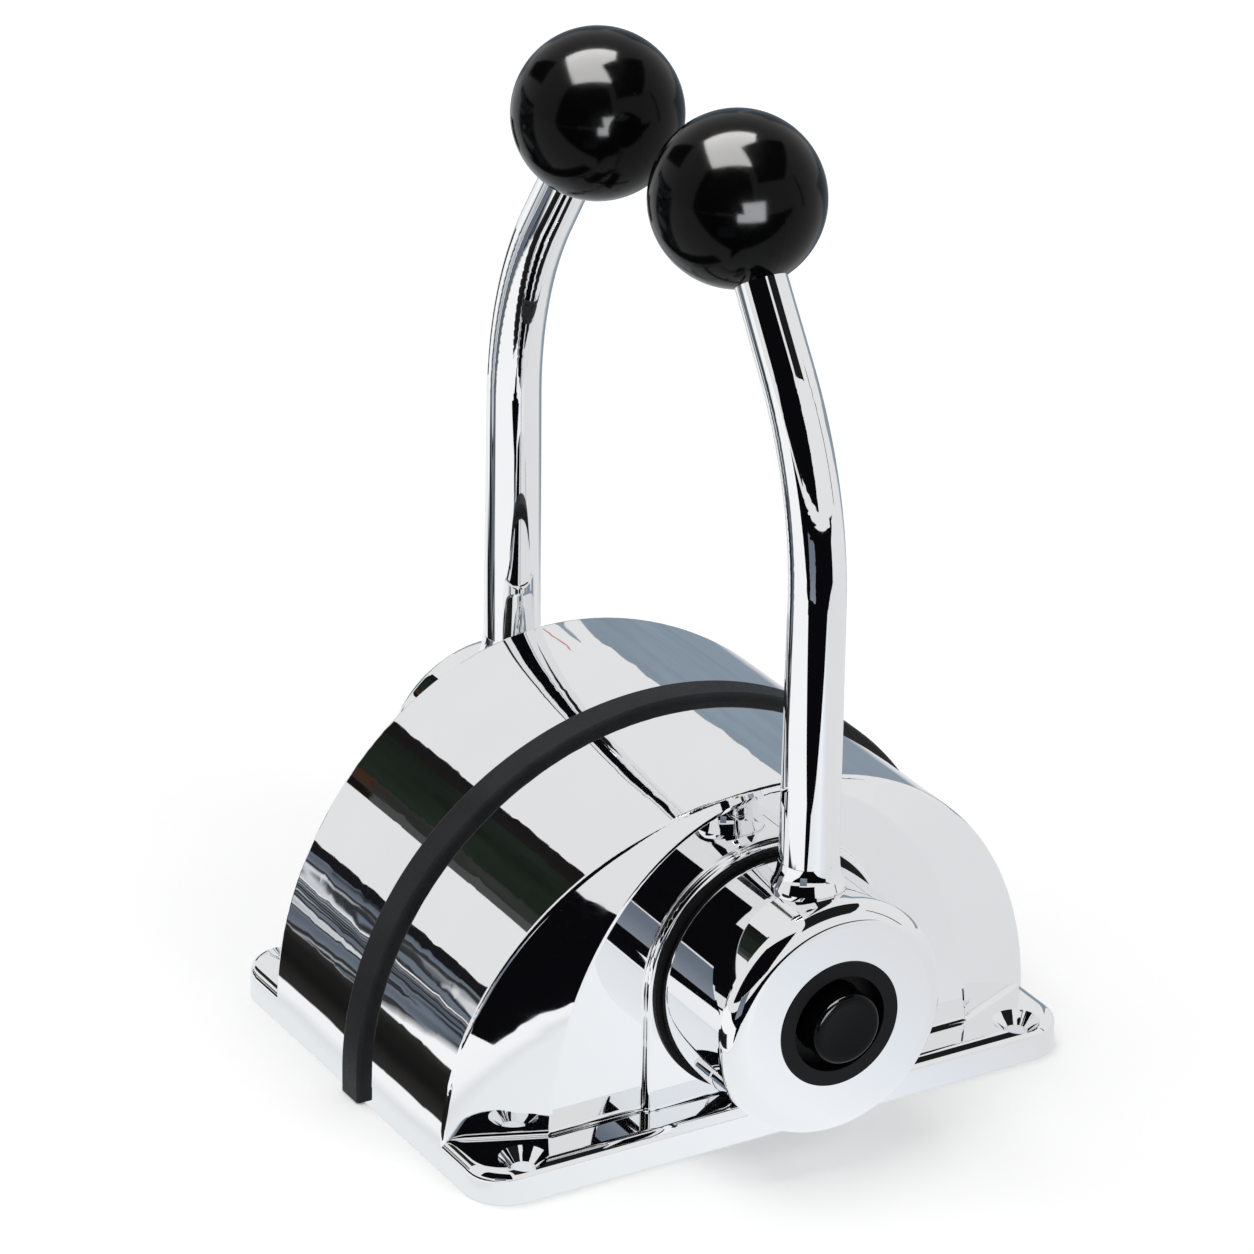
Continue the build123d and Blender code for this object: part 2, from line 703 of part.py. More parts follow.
nodes = {}
for name, make in side_parts.items():
    starboard = make()
    nodes["starboard_" + name] = starboard
    nodes["port_" + name] = mirror(starboard, about=Plane.YZ)
nodes["centre_strip"] = centre_strip()
nodes["base_gasket"] = gasket_loop(gasket_recess, gasket_depth)
nodes["tie_bolts"] = tie_bolts()
nodes["tie_nuts"] = tie_nuts()

os.makedirs("parts", exist_ok=True)
for name, shape in nodes.items():
    shape.label = name
    export_step(shape, "parts/" + name + ".step")
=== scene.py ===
import json
from math import cos, radians, sin, sqrt, tan
import bpy
from mathutils import Matrix, Vector


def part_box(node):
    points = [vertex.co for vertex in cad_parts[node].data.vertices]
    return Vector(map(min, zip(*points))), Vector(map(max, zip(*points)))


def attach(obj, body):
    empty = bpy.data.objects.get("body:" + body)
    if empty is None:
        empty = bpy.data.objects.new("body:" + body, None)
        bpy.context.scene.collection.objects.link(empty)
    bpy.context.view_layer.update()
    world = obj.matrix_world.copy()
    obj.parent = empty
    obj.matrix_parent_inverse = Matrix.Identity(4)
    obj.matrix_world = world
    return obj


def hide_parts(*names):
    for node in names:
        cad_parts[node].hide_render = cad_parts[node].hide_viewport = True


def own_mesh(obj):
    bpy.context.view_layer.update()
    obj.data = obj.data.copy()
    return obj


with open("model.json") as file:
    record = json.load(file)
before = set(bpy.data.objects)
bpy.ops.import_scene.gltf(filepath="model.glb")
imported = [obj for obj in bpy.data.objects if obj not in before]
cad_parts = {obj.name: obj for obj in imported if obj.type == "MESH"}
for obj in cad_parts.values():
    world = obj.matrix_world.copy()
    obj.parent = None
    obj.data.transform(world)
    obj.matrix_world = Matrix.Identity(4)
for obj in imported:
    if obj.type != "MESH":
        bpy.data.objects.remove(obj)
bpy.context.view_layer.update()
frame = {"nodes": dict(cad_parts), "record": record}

# Lengths are in metres and angles in degrees. A bearing of 0 looks along -Y and one of 90 along +X

# Sizes from the frame
JOINTS = {joint["name"]: joint for joint in frame["record"]["behaviour"]["joints"]}
SHAFT_Z = JOINTS["starboard_lever_swing"]["pos_m"][2]
BASE_HALF_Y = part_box("starboard_housing")[1][1]

# Sizes of the castings that their fillets follow
BASE_TOP, BASE_ROUND = 0.0094, 0.0032
END_X = 0.0555
COLLAR_FACE_X, COLLAR_R, COLLAR_EDGE_R = 0.0575, 0.0352, 0.0012
BEVEL_HALF_Y = 0.062        # half the bevel's width where it meets the end wall
BEVEL_FOOT = 0.9993         # share of its width that it has at the base's top
BEVEL_GROWTH = 2.381        # growth of half its width for each metre inwards
BEVEL_OUT = (0.922, 0.387)  # the way it faces, along X and Y

# The foot fillets run along the end wall, turn, and follow the bevel until they fade out
COVE_STEPS, COVE_TUCK = 10, 0.0001
FOOT_COVE_R, COLLAR_COVE_R, COLLAR_FOOT_COVE_R = 0.0015, 0.0007, 0.0010
WALL_RUN_Y = (0.0350, 0.0612)
TURN_PLACE, TURN_OUT = (0.05544, 0.06175), (0.98, 0.2)
BEVEL_RUN = ((0.06245, 0.0015), (0.0700, 0.0015), (0.0780, 0.0015), (0.0818, 0.0014), (0.0832, 0.0010),
             (0.0842, 0.0006), (0.0850, 0.0002))
COLLAR_TURNS, EDGE_TURNS = 36, 4
UP = (0, 0, 1)

# Camera, as the photograph was taken
CAMERA_BEARING, CAMERA_ELEVATION, CAMERA_ROLL = 59.24, 24.99, 0.984
CAMERA_DISTANCE, CAMERA_REACH = 1.6009, 50.0
AIM_RIGHT, AIM_UP = -0.00595, 0.10239
SENSOR_MM, LENS_MM = 36.0, 174.84

# The room: what lights it from all sides, what the chrome sees of it, and what the camera sees
AMBIENT, ROOM_WHITE, BACKDROP = 0.55, 0.81, 1.0
MIDDLE = Vector((0, 0, 0.1))
WHITE = (1.0, 1.0, 1.0)
DARK = (0.003, 0.003, 0.004)
BLUE_GREY = (0.25, 0.31, 0.37)

# The floor, whose white is lifted a little near the object and more further out
FLOOR_HALF, FLOOR_DROP, FLOOR_COLOUR = 6.0, 0.0002, (0.9, 0.9, 0.9)
LIFT_NEAR, LIFT_RISE = 0.18, 0.42
LIFT_START, LIFT_END = 0.35, 2.2

# Panels that light the gloss black parts
WINDOW_BEARING, WINDOW_ELEVATION, WINDOW_DISTANCE = 76.6, 6.6, 1.45
WINDOW_WIDTH, WINDOW_HEIGHT = 0.90, 0.70
WINDOW_COLOUR, WINDOW_STRENGTH = (0.93, 0.97, 1.0), 34.0
SOFTBOX_PLACE, SOFTBOX_SIZE = (-0.10, -0.34, 2.16), 1.85
SOFTBOX_COLOUR, SOFTBOX_STRENGTH = (1.0, 0.99, 0.98), 46.0

# Panels that the chrome mirrors, with the stretches of X that the strips to port fill
STRIP_RADIUS = 1.5
WHOLE, FAR_HALF, NEAR_HALF = (-5.1, -1.05), (-5.1, -1.875), (-1.875, -1.05)
DARK_CEILING = ((0.10, 0.02, 1.5), (1.7, 0.02, 1.5), (1.7, 1.5, 1.5), (-0.2, 1.5, 1.5))
LOW_WALL, LOW_WALL_TOP = ((0.29, -0.36), (0.41, -0.25)), 0.12

# Streaks of bent reflections, by the value of their noise
STREAKS_LOW, STREAKS_HIGH = 0.3, 0.7
STREAKS = (
    (0.360, (0.006, 0.007, 0.009)),
    (0.410, (0.030, 0.034, 0.040)),
    (0.425, (0.100, 0.120, 0.145)),
    (0.490, (0.150, 0.180, 0.220)),
    (0.505, (0.025, 0.027, 0.030)),
    (0.530, (0.040, 0.045, 0.050)),
    (0.545, (0.660, 0.680, 0.700)),
    (0.585, (0.500, 0.530, 0.560)),
    (0.600, (0.090, 0.100, 0.120)),
)

# What the chrome sees of the table, by its place along Y: the paper's edge, then paper, darkened behind the
# object by painted shade
TABLE_LOW, TABLE_HIGH = -0.20, 0.80
PAPER_AND_PAINTED_SHADE = (
    (-0.105, (0.960, 0.970, 0.980)),
    (-0.098, (0.940, 0.950, 0.960)),
    (-0.096, (0.640, 0.620, 0.600)),
    (-0.094, (0.840, 0.870, 0.890)),
    (0.010, (0.920, 0.945, 0.970)),
    # from here on the paper is darkened by painted shade behind the object
    (0.050, (0.800, 0.835, 0.880)),
    (0.085, (0.760, 0.765, 0.775)),
    (0.800, (0.800, 0.800, 0.810)),
)
# and before that edge, in front of the drum
FRONT = (
    (-0.165, (0.028, 0.028, 0.027)),
    (-0.150, (0.014, 0.014, 0.013)),
    (-0.120, (0.009, 0.009, 0.009)),
    (-0.104, (0.030, 0.029, 0.027)),
)

# Soft edges of the table's parts: outside at the first place, inside at the second
PAPER_EDGE, RIPPLE = -0.1035, 0.005
FRONT_EDGE, FRONT_END = (PAPER_EDGE, -0.1045), (-0.172, -0.168)
FRONT_STARBOARD, FRONT_PORT = (0.105, 0.095), (-0.34, -0.28)
CLUTTER_EDGE, CLUTTER_STARBOARD = (-0.168, -0.172), (-0.085, -0.105)
CLUTTER_STEEP, CLUTTER_FLAT = (1.75, 1.45), (0.44, 0.54)
BLUE_PORT, BLUE_BOW = (-0.10, -0.18), (0.16, 0.24)

# The clutter is laid out by logarithms, and the least values keep them away from zero
LOG_BASE = 2.718
LEAST_Y, LEAST_X, LEAST_SLANT_X = 0.01, 0.05, -0.05

# The dark studio lies to starboard of a slanting line, and of DARK_REACH at the most
DARK_SLOPE, DARK_START, DARK_REACH = -1.4, 0.004, 0.22
TABLE_CORNER = 0.356  # past the table's corner its edge runs where y is x less this

# Clouds in a hedge: how far they lift its fade, less their usual height
HEDGE_WAVE, HEDGE_SHIFT = 0.25, 0.12

# Blender's numbers for the colour sockets of a Mix node
MIX_FIRST, MIX_SECOND, MIX_RESULT = 6, 7, 2

# What each material slot looks like
LOOKS = {
    "polished_chrome": dict(colour=(0.93, 0.935, 0.945), metallic=1.0, rough=(0.012, 0.035), patches=0.05,
                            grain=0.004, bump=0.0, shade=0.02),
    "gloss_black": dict(colour=(0.002, 0.002, 0.0022), rough=(0.10, 0.15), patches=0.02, grain=0.003,
                        bump=0.0, shade=0.3, specular=0.12),
    "satin_black": dict(colour=(0.005, 0.005, 0.006), rough=(0.35, 0.5), patches=0.01, grain=0.0006,
                        bump=0.00001, shade=0.2, specular=0.15),
    "strip_rubber": dict(colour=(0.019, 0.020, 0.022), rough=(0.42, 0.6), patches=0.012, grain=0.0005,
                         bump=0.00002, shade=0.25, specular=0.2),
    "black_rubber": dict(colour=(0.006, 0.006, 0.007), rough=(0.5, 0.65), patches=0.01, grain=0.0006,
                         bump=0.00002, shade=0.2, specular=0.2),
    "bearing_bronze": dict(colour=(0.60, 0.40, 0.19), metallic=1.0, rough=(0.22, 0.36), patches=0.01,
                           grain=0.0008, bump=0.00001),
    "plate_steel": dict(colour=(0.55, 0.56, 0.57), metallic=1.0, rough=(0.28, 0.42), patches=0.02,
                        grain=0.001, bump=0.00001),
    "machined_steel": dict(colour=(0.60, 0.60, 0.62), metallic=1.0, rough=(0.18, 0.32), patches=0.01,
                           grain=0.0006, bump=0.00001),
    "spring_steel": dict(colour=(0.42, 0.42, 0.44), metallic=1.0, rough=(0.22, 0.38), patches=0.006,
                         grain=0.0005, bump=0.00001),
    "black_steel": dict(colour=(0.05, 0.05, 0.055), metallic=0.9, rough=(0.3, 0.45), patches=0.008,
                        grain=0.0006, bump=0.00001),
    "brake_lining": dict(colour=(0.12, 0.09, 0.07), rough=(0.7, 0.9), patches=0.003, grain=0.0004,
                         bump=0.00005, shade=0.5),
    "sensor_plastic": dict(colour=(0.02, 0.02, 0.023), rough=(0.4, 0.55), patches=0.008, grain=0.0005,
                           bump=0.00002, shade=0.2),
    "gear_plastic": dict(colour=(0.72, 0.71, 0.65), rough=(0.35, 0.5), patches=0.01, grain=0.0006,
                         bump=0.00001, shade=0.08),
}


def direction(bearing, elevation):
    """Unit vector to a bearing and an elevation."""
    b, e = radians(bearing), radians(elevation)
    return Vector((sin(b) * cos(e), -cos(b) * cos(e), sin(e)))


def rectangle(centre, across, along):
    """Corners of a rectangle from its centre and its two half sides."""
    return [centre + across * u + along * v for u, v in ((-1, -1), (1, -1), (1, 1), (-1, 1))]


class Nodes:
    """Short way to build a node tree."""

    def __init__(self, tree):
        self.tree = tree
        tree.nodes.clear()

    def add(self, kind, inputs=None, **settings):
        node = self.tree.nodes.new("ShaderNode" + kind)
        for name, value in settings.items():
            setattr(node, name, value)
        for name, value in (inputs or {}).items():
            self.put(node, name, value)
        return node

    def put(self, node, name, value):
        if isinstance(value, bpy.types.NodeSocket):
            self.tree.links.new(value, node.inputs[name])
        else:
            node.inputs[name].default_value = value

    def surface(self, shader, output="OutputMaterial"):
        """Make a shader what the tree gives."""
        self.put(self.add(output), "Surface", shader.outputs[0])


def calc(nodes, operation, *values):
    return nodes.add("Math", dict(enumerate(values)), operation=operation).outputs[0]


def step(nodes, value, outside, inside):
    """0 up to the first place, 1 from the second on, and a straight rise between."""
    return nodes.add("MapRange", {"Value": value, "From Min": outside, "From Max": inside}).outputs[0]


def region(nodes, *edges):
    """1 where each value is inside its soft edge: edges are (value, (outside, inside))."""
    share = None
    for value, (outside, inside) in edges:
        edge = step(nodes, value, outside, inside)
        share = edge if share is None else calc(nodes, "MULTIPLY", share, edge)
    return share


def blend(nodes, share, first, second):
    """First colour where share is 0, second where it is 1."""
    colours = {"Factor": share, MIX_FIRST: first, MIX_SECOND: second}
    return nodes.add("Mix", colours, data_type="RGBA").outputs[MIX_RESULT]


def colour_bands(nodes, factor, stops, low, high):
    """Colour ramp over a length: stops are (place, colour) between low and high."""
    ramp = nodes.add("ValToRGB", {"Fac": step(nodes, factor, low, high)})
    elements = ramp.color_ramp.elements
    while len(elements) < len(stops):
        elements.new(0.5)
    for element, (place, colour) in zip(elements, stops):
        element.position = (place - low) / (high - low)
        element.color = (*colour, 1)
    return ramp.outputs["Color"]


def new_material(name):
    material = bpy.data.materials.new(name)
    material.use_nodes = True
    return material, Nodes(material.node_tree)


def finish(name, colour, rough, patches, grain, bump, metallic=0.0, shade=0.12, specular=0.5):
    """Material with cloudy colour, mottled roughness and a fine grain.

    rough is the range of roughness, patches and grain are sizes and bump is the height of the grain.
    """
    material, nodes = new_material(name)
    place = nodes.add("TexCoord").outputs["Object"]
    cloud = nodes.add("TexNoise", {"Vector": place, "Scale": 1 / patches, "Detail": 4.0, "Roughness": 0.55})
    speck = nodes.add("TexNoise", {"Vector": place, "Scale": 1 / grain, "Detail": 3.0, "Roughness": 0.6})
    tint = nodes.add("ValToRGB", {"Fac": cloud.outputs["Fac"]})
    dark_end, pale_end = tint.color_ramp.elements
    dark_end.position, pale_end.position = 0.35, 0.65
    dark_end.color = (*(part * (1 - shade) for part in colour), 1)
    pale_end.color = (*colour, 1)
    mottle = nodes.add("MapRange", {"Value": speck.outputs["Fac"], "From Min": 0.3, "From Max": 0.7,
                                    "To Min": rough[0], "To Max": rough[1]})
    relief = nodes.add("Bump", {"Height": speck.outputs["Fac"], "Strength": 1.0, "Distance": bump})
    nodes.surface(nodes.add("BsdfPrincipled", {
        "Base Color": tint.outputs["Color"], "Metallic": metallic, "Roughness": mottle.outputs["Result"],
        "Normal": relief.outputs["Normal"], "Specular IOR Level": specular}))
    return material


def glow(name, colour):
    """Plain emission for a panel of the studio."""
    material, nodes = new_material(name)
    nodes.surface(nodes.add("Emission", {"Color": (*colour, 1)}))
    return material


def streak_colour(nodes, across, along, scale, stretch, seed):
    """Long wavy streaks of black, blue grey and white, as bent chrome shows a cluttered room."""
    place = nodes.add("CombineXYZ", {"X": along, "Y": across, "Z": seed})
    stretched = nodes.add("Mapping", {"Vector": place.outputs[0], "Scale": (scale / stretch, scale, 1)})
    noise = nodes.add("TexNoise", {"Vector": stretched.outputs[0], "Scale": 1.0, "Detail": 1.0,
                                   "Roughness": 0.4, "Distortion": 0.7})
    return colour_bands(nodes, noise.outputs["Fac"], STREAKS, STREAKS_LOW, STREAKS_HIGH)


def streaks(name, scale, stretch, seed):
    """Panel of streaks that run along X."""
    material, nodes = new_material(name)
    axes = nodes.add("SeparateXYZ", {"Vector": nodes.add("TexCoord").outputs["Object"]})
    colour = streak_colour(nodes, axes.outputs["Z"], axes.outputs["X"], scale, stretch, seed)
    nodes.surface(nodes.add("Emission", {"Color": colour}))
    return material


def hedge(name, fade, low_colour, high_colour, depth=0.7):
    """Cloudy panel that fades from one colour to another between two heights."""
    material, nodes = new_material(name)
    place = nodes.add("TexCoord").outputs["Object"]
    height = nodes.add("SeparateXYZ", {"Vector": place}).outputs["Z"]
    cloud = nodes.add("TexNoise", {"Vector": place, "Scale": 7.0, "Detail": 3.0}).outputs["Fac"]
    wavy = calc(nodes, "MULTIPLY_ADD", cloud, HEDGE_WAVE, height)
    share = step(nodes, wavy, fade[0] + HEDGE_SHIFT, fade[1] + HEDGE_SHIFT)
    shade = calc(nodes, "MULTIPLY_ADD", cloud, 2 * depth, 1 - depth)
    colour = blend(nodes, share, (*low_colour, 1), (*high_colour, 1))
    nodes.surface(nodes.add("Emission", {"Color": colour, "Strength": shade}))
    return material


def far_off(nodes, value, least):
    """Logarithm of how far a value lies below zero."""
    below = calc(nodes, "MAXIMUM", calc(nodes, "MULTIPLY", value, -1.0), least)
    return calc(nodes, "LOGARITHM", below, LOG_BASE)


def dark_share(nodes, x, y):
    """1 on the dark studio's part of the table."""
    border = calc(nodes, "MINIMUM", DARK_REACH, calc(nodes, "MULTIPLY_ADD", y, DARK_SLOPE, DARK_START))
    side_edge = calc(nodes, "MAXIMUM", PAPER_EDGE, calc(nodes, "SUBTRACT", x, TABLE_CORNER))
    past_border, before_edge = calc(nodes, "GREATER_THAN", x, border), calc(nodes, "LESS_THAN", y, side_edge)
    return calc(nodes, "MULTIPLY", past_border, before_edge)


def table_colour(nodes, place):
    """What the chrome sees of the floor: paper with an edge and painted shade behind the object, dark studio
    before it, clutter to port.
    """
    axes = nodes.add("SeparateXYZ", {"Vector": place})
    x, y = axes.outputs["X"], axes.outputs["Y"]
    ripple = nodes.add("TexNoise", {"Vector": place, "Scale": 26.0, "Detail": 1.0}).outputs["Fac"]
    wavy_y = calc(nodes, "MULTIPLY_ADD", calc(nodes, "SUBTRACT", ripple, 0.5), RIPPLE, y)
    # the paper's colour carries painted shade where it lies behind the object
    paper = colour_bands(nodes, wavy_y, PAPER_AND_PAINTED_SHADE, TABLE_LOW, TABLE_HIGH)
    front = colour_bands(nodes, wavy_y, FRONT, TABLE_LOW, TABLE_HIGH)
    clutter = streak_colour(nodes, far_off(nodes, y, LEAST_Y), far_off(nodes, x, LEAST_X),
                            scale=0.95, stretch=1.2, seed=0.3)
    slant = calc(nodes, "DIVIDE", y, calc(nodes, "MINIMUM", x, LEAST_SLANT_X))

    blue = region(nodes, (x, BLUE_PORT), (y, BLUE_BOW))
    in_front = region(nodes, (wavy_y, FRONT_EDGE), (x, FRONT_STARBOARD), (x, FRONT_PORT), (wavy_y, FRONT_END))
    cluttered = region(nodes, (wavy_y, CLUTTER_EDGE), (x, CLUTTER_STARBOARD), (slant, CLUTTER_STEEP),
                       (slant, CLUTTER_FLAT))
    colour = blend(nodes, blue, paper, (*BLUE_GREY, 1))
    colour = blend(nodes, in_front, colour, front)
    colour = blend(nodes, cluttered, colour, clutter)
    return blend(nodes, dark_share(nodes, x, wavy_y), colour, (*DARK, 1))


def seen_directly(nodes, path):
    """1 for rays from the camera, also through glass."""
    return calc(nodes, "MAXIMUM", path.outputs["Is Camera Ray"], path.outputs["Is Transmission Ray"])


def stage_mesh(name, corners, material):
    """Flat studio piece from its corners."""
    mesh = bpy.data.meshes.new(name)
    mesh.from_pydata([tuple(corner) for corner in corners], [], [tuple(range(len(corners)))])
    mesh.materials.append(material)
    piece = bpy.data.objects.new(name, mesh)
    bpy.context.collection.objects.link(piece)
    return piece


def mirrored_panel(name, corners, material):
    """Flat studio piece that shows in reflections only."""
    piece = stage_mesh(name, corners, material)
    piece.visible_camera = False
    piece.visible_diffuse = False
    piece.visible_shadow = False
    piece.visible_transmission = False
    return piece


def gloss_black_light(name, corners, colour, strength):
    """Panel that shines on the gloss black parts alone; everything else sees through it."""
    material, nodes = new_material(name)
    light = nodes.add("Emission", {"Color": (*colour, 1), "Strength": strength})
    clear = nodes.add("BsdfTransparent")
    nodes.surface(nodes.add("AddShader", {0: light.outputs[0], 1: clear.outputs[0]}))
    piece = mirrored_panel(name, corners, material)
    piece.light_linking.receiver_collection = GLOSS_BLACK_PARTS


def wall(name, material, bearing, half_angle, distance, low, high):
    """Upright panel at a bearing, half_angle to each side, between two heights."""
    centre = direction(bearing, 0) * distance + Vector((0, 0, (low + high) / 2))
    across = direction(bearing + 90, 0) * distance * tan(radians(half_angle))
    mirrored_panel(name, rectangle(centre, across, Vector((0, 0, (high - low) / 2))), material)


def wall_strip(name, material, low, high, reach=WHOLE):
    """Long panel on the port side, parallel to the shafts, between two angles round their axis.

    An angle of 0 is level astern, 90 is straight up and 180 level towards the bow.
    """
    corners = []
    for angle, x in ((low, reach[0]), (high, reach[0]), (high, reach[1]), (low, reach[1])):
        a = radians(angle)
        corners.append((x, -STRIP_RADIUS * cos(a), SHAFT_Z + STRIP_RADIUS * sin(a)))
    mirrored_panel(name, corners, material)


def add_camera():
    back = direction(CAMERA_BEARING, CAMERA_ELEVATION)
    level = direction(CAMERA_BEARING + 90, 0)
    rise = back.cross(level)
    roll = radians(CAMERA_ROLL)
    right = cos(roll) * level + sin(roll) * rise
    up = cos(roll) * rise - sin(roll) * level
    lens = bpy.data.cameras.new("camera")
    lens.sensor_width = SENSOR_MM
    lens.lens = LENS_MM
    lens.clip_end = CAMERA_REACH
    camera = bpy.data.objects.new("camera", lens)
    camera.matrix_world = Matrix((right, up, back)).transposed().to_4x4()
    camera.location = right * AIM_RIGHT + up * AIM_UP + back * CAMERA_DISTANCE
    bpy.context.collection.objects.link(camera)
    bpy.context.scene.camera = camera


def add_floor():
    """Pale floor that keeps the object's shadow and shows the studio's table in reflections only."""
    material, nodes = new_material("pale_floor")
    path = nodes.add("LightPath")
    place = nodes.add("TexCoord").outputs["Object"]
    table = nodes.add("Emission", {"Color": table_colour(nodes, place)})
    paper = nodes.add("BsdfDiffuse", {"Color": (*FLOOR_COLOUR, 1)})
    distance = nodes.add("VectorMath", {0: place}, operation="LENGTH").outputs["Value"]
    rise = calc(nodes, "MULTIPLY_ADD", step(nodes, distance, LIFT_START, LIFT_END), LIFT_RISE, LIFT_NEAR)
    strength = calc(nodes, "MULTIPLY", seen_directly(nodes, path), rise)
    lift = nodes.add("Emission", {"Color": (*WHITE, 1), "Strength": strength})
    lit = nodes.add("AddShader", {0: paper.outputs[0], 1: lift.outputs[0]})
    glossy = path.outputs["Is Glossy Ray"]
    nodes.surface(nodes.add("MixShader", {"Fac": glossy, 1: lit.outputs[0], 2: table.outputs[0]}))
    corners = rectangle(Vector(), Vector((FLOOR_HALF, 0, 0)), Vector((0, FLOOR_HALF, 0)))
    floor = stage_mesh("floor", corners, material)
    floor.location.z = -FLOOR_DROP


def add_world():
    """Even light on the object, one level of white in the chrome and a white backdrop."""
    world = bpy.data.worlds.new("studio")
    bpy.context.scene.world = world
    world.use_nodes = True
    nodes = Nodes(world.node_tree)
    path = nodes.add("LightPath")
    ambient, room, backdrop = [nodes.add("Background", {"Color": (*WHITE, 1), "Strength": strength})
                               for strength in (AMBIENT, ROOM_WHITE, BACKDROP)]
    glossy = path.outputs["Is Glossy Ray"]
    light = nodes.add("MixShader", {"Fac": glossy, 1: ambient.outputs[0], 2: room.outputs[0]})
    direct = seen_directly(nodes, path)
    seen = nodes.add("MixShader", {"Fac": direct, 1: light.outputs[0], 2: backdrop.outputs[0]})
    nodes.surface(seen, "OutputWorld")


def add_lamp(name, bearing, elevation, distance, size, watts):
    """Square lamp that faces the object and shows in no reflection."""
    lamp = bpy.data.lights.new(name, "AREA")
    lamp.shape = "SQUARE"
    lamp.size = size
    lamp.energy = watts
    piece = bpy.data.objects.new(name, lamp)
    out = direction(bearing, elevation)
    piece.location = MIDDLE + out * distance
    piece.rotation_euler = out.to_track_quat("Z", "Y").to_euler()
    piece.visible_glossy = False
    piece.visible_camera = False
    bpy.context.collection.objects.link(piece)


def add_low_wall():
    """Low wall at the table's near corner, pale at its foot."""
    (x0, y0), (x1, y1) = LOW_WALL
    corners = ((x0, y0, 0), (x1, y1, 0), (x1, y1, LOW_WALL_TOP), (x0, y0, LOW_WALL_TOP))
    look = hedge("low_wall", (-0.1, 0.1), (0.34, 0.37, 0.41), (0.15, 0.18, 0.22), depth=0.3)
    mirrored_panel("low_wall", corners, look)


def add_window():
    """Window to starboard that the ball knobs and the buttons mirror."""
    out = direction(WINDOW_BEARING, WINDOW_ELEVATION)
    side = direction(WINDOW_BEARING + 90, 0)
    across, along = side * WINDOW_WIDTH / 2, out.cross(side) * WINDOW_HEIGHT / 2
    corners = rectangle(MIDDLE + out * WINDOW_DISTANCE, across, along)
    gloss_black_light("window", corners, WINDOW_COLOUR, WINDOW_STRENGTH)


def add_softbox():
    """Square softbox above, turned like the camera, that the ball knobs mirror."""
    level, away = direction(CAMERA_BEARING + 90, 0), direction(CAMERA_BEARING + 180, 0)
    half = SOFTBOX_SIZE / 2
    corners = rectangle(Vector(SOFTBOX_PLACE), level * half, away * half)
    gloss_black_light("overhead_softbox", corners, SOFTBOX_COLOUR, SOFTBOX_STRENGTH)


def add_walls():
    """Walls, stand and ceiling of the studio."""
    wall("dark_studio", glow("dark_studio", DARK),
         bearing=41, half_angle=39, distance=1.3, low=0.27, high=2.4)
    wall("dark_corner", glow("dark_corner", (0.004, 0.004, 0.005)),
         bearing=18, half_angle=15, distance=1.25, low=0.21, high=0.30)
    wall("port_edge", glow("port_edge", (0.012, 0.012, 0.012)),
         bearing=-91, half_angle=6.5, distance=0.46, low=0.0, high=0.09)
    wall("light_stand", glow("light_stand", (0.07, 0.07, 0.08)),
         bearing=147.5, half_angle=1.4, distance=1.5, low=0.1, high=0.95)
    mirrored_panel("dark_ceiling", DARK_CEILING, glow("dark_ceiling", (0.012, 0.012, 0.013)))


def add_wall_strips():
    """Bands of the room that the drum mirrors, from the table up and over to the bow."""
    wall_strip("mid_wall", streaks("mid_wall", scale=3.2, stretch=2.4, seed=0.7), 0, 10)
    wall_strip("black_line", glow("black_line", (0.01, 0.01, 0.012)), 10, 14)
    wall_strip("black_edge", glow("black_edge", (0.008, 0.007, 0.006)), 37.5, 40.5, FAR_HALF)
    wall_strip("grey_edge", glow("grey_edge", (0.07, 0.07, 0.07)), 37.5, 40.5, NEAR_HALF)
    brown = hedge("brown_edge", (0.9, 1.0), (0.050, 0.026, 0.018), (0.045, 0.024, 0.016))
    wall_strip("brown_edge", brown, 40.5, 44.5, FAR_HALF)
    grey = hedge("grey_band", (0.9, 1.0), (0.060, 0.060, 0.060), (0.030, 0.032, 0.030))
    wall_strip("grey_band", grey, 40.5, 44.5, NEAR_HALF)
    green = hedge("green_wall", (1.0, 1.3), (0.016, 0.026, 0.017), (0.012, 0.016, 0.012))
    wall_strip("green_wall", green, 44.5, 60)
    brown_black = hedge("dark_top", (1.3, 1.4), (0.012, 0.011, 0.010), (0.010, 0.009, 0.009))
    wall_strip("dark_top", brown_black, 60, 65)
    wall_strip("red_cable", glow("red_cable", (0.55, 0.14, 0.14)), 131.0, 131.5, FAR_HALF)
    for name, low, reach in (("blue_wall_port", 137, FAR_HALF), ("blue_wall", 144, NEAR_HALF)):
        wall_strip(name, hedge(name, (0.2, 1.0), BLUE_GREY, BLUE_GREY, depth=0.2), low, 182, reach)


def dress_nodes():
    """Give each CAD node the finish of its slot."""
    for subpart in frame["record"]["subparts"]:
        mesh = frame["nodes"][subpart["node"]].data
        for index in range(len(mesh.materials)):
            mesh.materials[index] = FINISHES[subpart["material_slot"]]
        if not mesh.materials:
            mesh.materials.append(FINISHES[subpart["material_slot"]])


def cove_section(corner, out, up, radius):
    """Points and normals of one section of a cove: a quarter arc, and a last point behind the corner."""
    corner, out, up = Vector(corner), Vector(out).normalized(), Vector(up).normalized()
    turns = [radians(90 * k / COVE_STEPS) for k in range(COVE_STEPS + 1)]
    arc = [corner + out * radius * (1 - cos(a)) + up * radius * (1 - sin(a)) for a in turns]
    return arc + [corner - (out + up) * COVE_TUCK], [out * cos(a) + up * sin(a) for a in turns]


